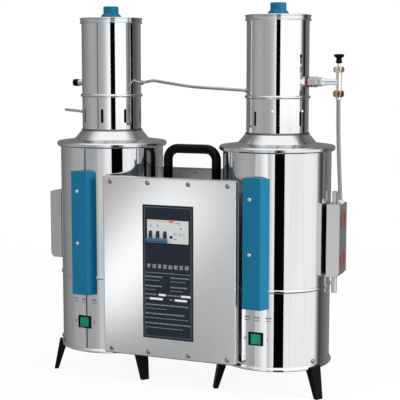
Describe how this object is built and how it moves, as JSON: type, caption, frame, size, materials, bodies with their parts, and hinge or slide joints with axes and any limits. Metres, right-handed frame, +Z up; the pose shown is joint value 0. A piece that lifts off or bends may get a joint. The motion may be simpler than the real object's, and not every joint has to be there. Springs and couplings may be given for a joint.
{
  "type": "twin-tower electric water distiller",
  "caption": "Electric water distiller: polished steel boilers and condensers on splayed legs, joined by a control box with breaker, carrying handle and needle-valve water inlet.",
  "frame": {"origin": "on the bench, under the middle of the object's bounding box", "axes": "+X from the left tower to the right one, -Y towards the front panel, +Z up"},
  "size_m": [0.633, 0.2557, 0.7561],
  "materials": {
    "polished_steel": "mirror-polished stainless steel sheet",
    "plain_steel": "bright plated or machined steel",
    "sheet_steel": "satin stainless steel sheet",
    "steel_braid": "woven stainless steel wire over a rubber hose",
    "blue_plastic": "semi-gloss moulded plastic",
    "green_plastic": "translucent gloss plastic",
    "ivory_plastic": "fine-textured moulded plastic",
    "black_plastic": "black moulded plastic",
    "black_rubber": "black sheet rubber",
    "brown_gasket": "reddish-brown sealing washer",
    "plate_paint": "dark slate printed aluminium foil plate",
    "brass": "machined brass"
  },
  "bodies": {
    "machine": {"left_boiler_skirt": "polished_steel", "left_boiler_shell": "polished_steel", "left_boiler_lid": "polished_steel", "left_condenser_neck": "polished_steel", "left_condenser_shell": "polished_steel", "left_condenser_lid": "polished_steel", "left_condenser_core": "plain_steel", "left_heating_elements": "plain_steel", "left_gauge_cover": "blue_plastic", "left_leg_left": "black_plastic", "left_leg_right": "black_plastic", "left_leg_rear": "black_plastic", "left_switch_bezel": "black_plastic", "left_terminal_box": "sheet_steel", "left_terminal_gasket": "black_rubber", "right_boiler_skirt": "polished_steel", "right_boiler_shell": "polished_steel", "right_boiler_lid": "polished_steel", "right_condenser_neck": "polished_steel", "right_condenser_shell": "polished_steel", "right_condenser_lid": "polished_steel", "right_condenser_core": "plain_steel", "right_heating_elements": "plain_steel", "right_gauge_cover": "blue_plastic", "right_leg_left": "black_plastic", "right_leg_right": "black_plastic", "right_leg_rear": "black_plastic", "right_switch_bezel": "black_plastic", "right_terminal_box": "sheet_steel", "right_terminal_gasket": "black_rubber", "leg_screws": "plain_steel", "cover_screws": "plain_steel", "panel_screws": "plain_steel", "transfer_tube": "plain_steel", "left_overflow_nipple": "plain_steel", "left_outlet_barb": "plain_steel", "right_inlet_union": "plain_steel", "right_valve_body": "plain_steel", "hose_ferrule": "plain_steel", "box_stub": "plain_steel", "box_drain": "plain_steel", "front_panel": "sheet_steel", "rear_panel": "sheet_steel", "chassis": "sheet_steel", "data_plate": "plate_paint", "breaker_body": "ivory_plastic", "handle": "black_plastic", "left_nipple_cap": "black_plastic", "right_inlet_gasket": "brown_gasket", "right_packing_nut": "brass", "right_hose_nut": "brass", "supply_hose": "steel_braid"},
    "left_rocker": {"left_switch_rocker": "green_plastic"},
    "right_rocker": {"right_switch_rocker": "green_plastic"},
    "breaker_lever_bar": {"breaker_levers": "blue_plastic"},
    "test_button": {"breaker_test_button": "black_plastic"},
    "valve_spindle": {"right_valve_stem": "plain_steel", "right_valve_knob": "black_plastic"},
    "left_cap": {"left_vent_cap": "blue_plastic"},
    "right_cap": {"right_vent_cap": "blue_plastic"}
  },
  "joints": [
    {"name": "left_switch", "type": "hinge", "parent": "machine", "child": "left_rocker", "pos_m": [-0.19237, -0.09961, 0.118], "axis": [0, 0, -1], "range_deg": [0, 22]},
    {"name": "right_switch", "type": "hinge", "parent": "machine", "child": "right_rocker", "pos_m": [0.17744, -0.10018, 0.118], "axis": [0, 0, -1], "range_deg": [0, 22]},
    {"name": "breaker", "type": "hinge", "parent": "machine", "child": "breaker_lever_bar", "pos_m": [0, -0.11274, 0.308], "axis": [-1, 0, 0], "range_deg": [0, 80]},
    {"name": "breaker_test", "type": "slide", "parent": "machine", "child": "test_button", "axis": [0, 1, 0], "range_m": [0, 0.0012], "stiffness_N_per_m": 300},
    {"name": "water_valve", "type": "hinge", "parent": "machine", "child": "valve_spindle", "pos_m": [0.303, 0.00176, 0.623], "axis": [0, 0, 1], "range_deg": [0, 720]},
    {"name": "left_cap_pull", "type": "slide", "parent": "machine", "child": "left_cap", "axis": [0, 0, 1], "range_m": [0, 0.03]},
    {"name": "right_cap_pull", "type": "slide", "parent": "machine", "child": "right_cap", "axis": [0, 0, 1], "range_m": [0, 0.03]}
  ]
}
